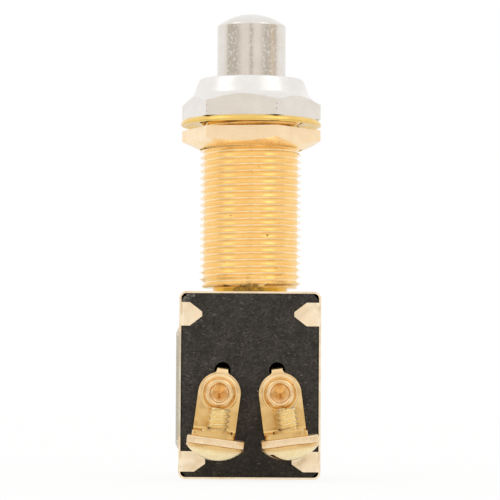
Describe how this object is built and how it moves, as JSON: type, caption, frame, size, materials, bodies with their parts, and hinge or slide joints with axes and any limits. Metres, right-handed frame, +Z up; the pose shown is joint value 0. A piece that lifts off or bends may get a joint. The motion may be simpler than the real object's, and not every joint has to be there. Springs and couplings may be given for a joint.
{
  "type": "pushbutton switch",
  "caption": "Momentary panel pushbutton switch: sprung nickel button in a threaded brass stem with dress nut and lock nut, on a brass case with a fibre board and screw terminals.",
  "frame": {"origin": "centre of the case's flat bottom face, on the stem's axis", "axes": "+Z up the stem towards the button, -Y towards the terminal side, +X to the right seen from the terminals"},
  "size_m": [0.0223, 0.0298, 0.0725],
  "materials": {
    "case_brass": "drawn sheet brass, satin, slightly tarnished",
    "liner_fibre": "grey vulcanised fibre sheet",
    "board_fibre": "black vulcanised fibre with pale flecks",
    "stem_brass": "turned brass, bright",
    "nut_nickel": "nickel plate over turned brass, satin flats",
    "washer_brass": "bright rolled brass",
    "nut_brass": "milled brass, satin",
    "button_nickel": "nickel plate with fine turning marks",
    "rod_steel": "plain steel rod",
    "spring_steel": "spring steel wire and strip",
    "insulator_fibre": "red-brown vulcanised fibre",
    "bridge_brass": "stamped brass",
    "terminal_brass": "stamped brass, satin",
    "contact_silver": "silver contact metal",
    "rivet_brass": "brass, rolled bright",
    "clamp_brass": "stamped brass, dull",
    "screw_brass": "brass, slightly tarnished"
  },
  "bodies": {
    "housing": {"case": "case_brass", "case_liner": "liner_fibre", "terminal_board": "board_fibre", "bushing": "stem_brass", "spring_washer": "washer_brass", "return_spring": "spring_steel", "terminal_left": "terminal_brass", "contact_tip_left": "contact_silver", "rivet_left": "rivet_brass", "rivet_washer_left": "rivet_brass", "clamp_washer_left": "clamp_brass", "terminal_right": "terminal_brass", "contact_tip_right": "contact_silver", "rivet_right": "rivet_brass", "rivet_washer_right": "rivet_brass", "clamp_washer_right": "clamp_brass"},
    "plunger": {"button": "button_nickel", "plunger_rod": "rod_steel", "stop_washer": "insulator_fibre", "retaining_clip": "spring_steel", "contact_spring": "spring_steel", "lower_insulator": "insulator_fibre", "end_clip": "spring_steel"},
    "bridge": {"upper_insulator": "insulator_fibre", "contact_bridge": "bridge_brass"},
    "face_nut": {"face_nut": "nut_nickel"},
    "back_nut": {"back_nut": "nut_brass"},
    "screw_left": {"terminal_screw_left": "screw_brass"},
    "screw_right": {"terminal_screw_right": "screw_brass"}
  },
  "joints": [
    {"name": "button_press", "type": "slide", "parent": "housing", "child": "plunger", "axis": [0, 0, -1], "range_m": [0, 0.004], "stiffness_N_per_m": 500, "springref_m": -0.008, "deforming": ["return_spring"]},
    {"name": "bridge_float", "type": "slide", "parent": "plunger", "child": "bridge", "axis": [0, 0, 1], "range_m": [0, 0.0008], "stiffness_N_per_m": 400, "springref_m": -0.003, "deforming": ["contact_spring"]},
    {"name": "face_nut_turn", "type": "hinge", "parent": "housing", "child": "face_nut", "pos_m": [0, 0, 0.0558], "axis": [0, 0, 1], "continuous": true},
    {"name": "back_nut_turn", "type": "hinge", "parent": "housing", "child": "back_nut", "pos_m": [0, 0, 0.0512], "axis": [0, 0, 1], "continuous": true},
    {"name": "screw_left_turn", "type": "hinge", "parent": "housing", "child": "screw_left", "pos_m": [-0.00519, -0.0145, 0.00536], "axis": [0.1305, 0, 0.9914], "continuous": true},
    {"name": "screw_right_turn", "type": "hinge", "parent": "housing", "child": "screw_right", "pos_m": [0.00609, -0.0145, 0.00547], "axis": [-0.1305, 0, 0.9914], "continuous": true}
  ]
}
